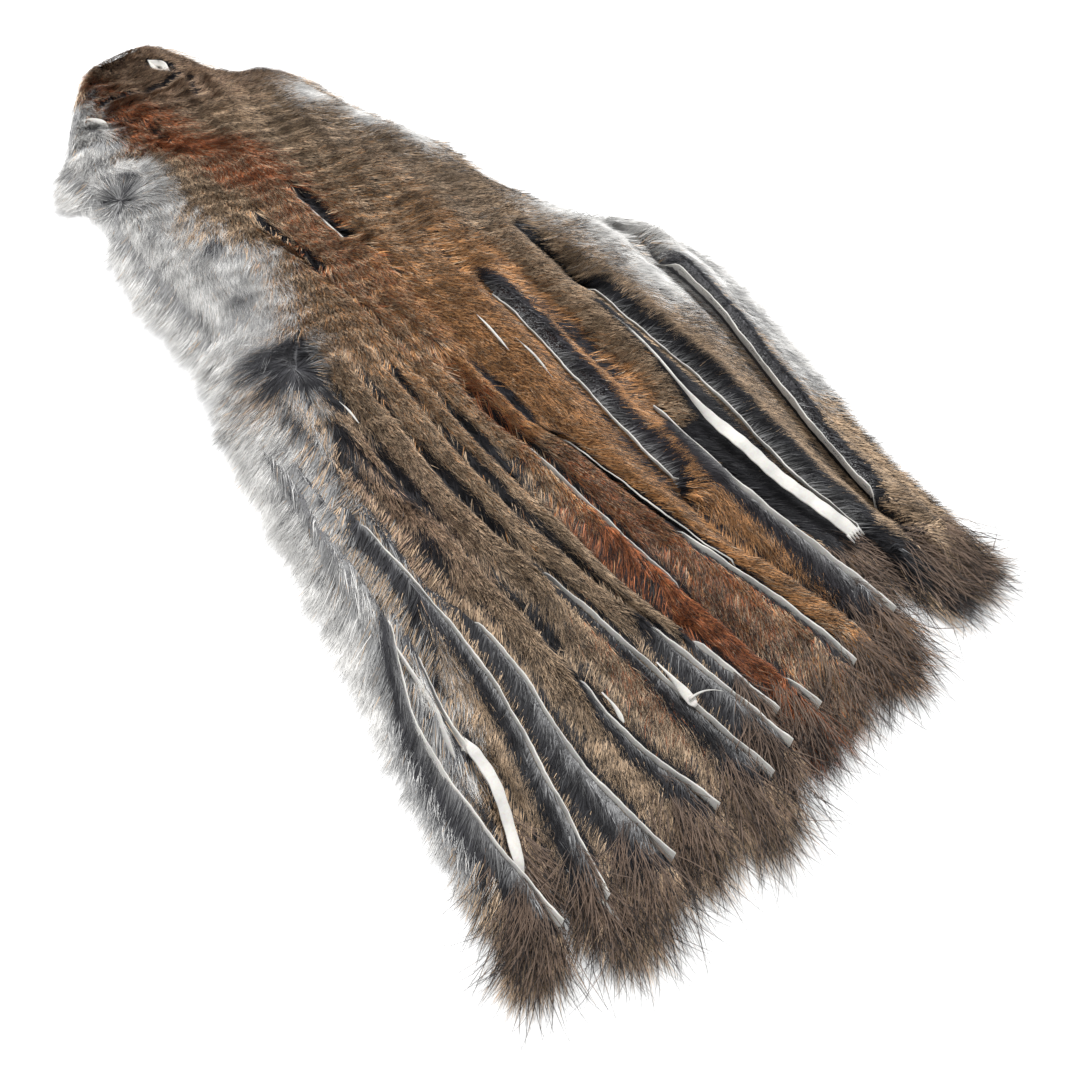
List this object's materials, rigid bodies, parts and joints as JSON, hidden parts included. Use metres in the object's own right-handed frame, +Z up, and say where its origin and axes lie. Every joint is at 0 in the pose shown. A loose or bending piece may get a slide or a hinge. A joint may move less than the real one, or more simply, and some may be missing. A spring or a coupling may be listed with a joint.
{
  "type": "pine squirrel skin cut into strips",
  "caption": "Tanned squirrel skin lying fur side up: one hide, whole at the head and shoulders and cut lengthwise into strips that fan out at the tail end.",
  "frame": {"origin": "on the underside, on the floor, at the middle of the skin's length and width", "axes": "+Z up, +Y along the spine towards the nose, +X to the right seen from above with the nose away"},
  "size_m": [0.1166, 0.2224, 0.0094],
  "materials": {
    "fur": "dense agouti brown fur, grey-white on the flanks and rust along the spine, dull",
    "leather": "undyed pale tanned leather, matt, with a napped cut edge"
  },
  "bodies": {
    "root": {"skin": "fur"}
  },
  "joints": []
}
